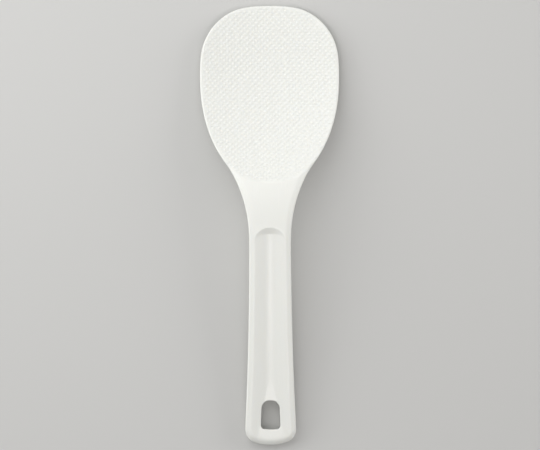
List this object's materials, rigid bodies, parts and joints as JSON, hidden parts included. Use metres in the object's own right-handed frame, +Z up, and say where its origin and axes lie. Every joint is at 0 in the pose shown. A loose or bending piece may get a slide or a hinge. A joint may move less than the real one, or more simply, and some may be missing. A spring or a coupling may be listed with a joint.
{
  "type": "rice paddle",
  "caption": "One-piece moulded rice paddle: wide scooped blade with a rounded head, raised neck, and a tapering grooved handle with a hanging hole.",
  "frame": {"origin": "on the surface that the paddle lies on, under the middle of its length and width", "axes": "+X across the paddle, +Y from the end of the handle to the tip of the blade, +Z up, out of the scooped face of the blade"},
  "size_m": [0.0648, 0.205, 0.0208],
  "materials": {
    "white_polypropylene": "satin, as moulded"
  },
  "bodies": {
    "root": {"paddle": "white_polypropylene"}
  },
  "joints": []
}
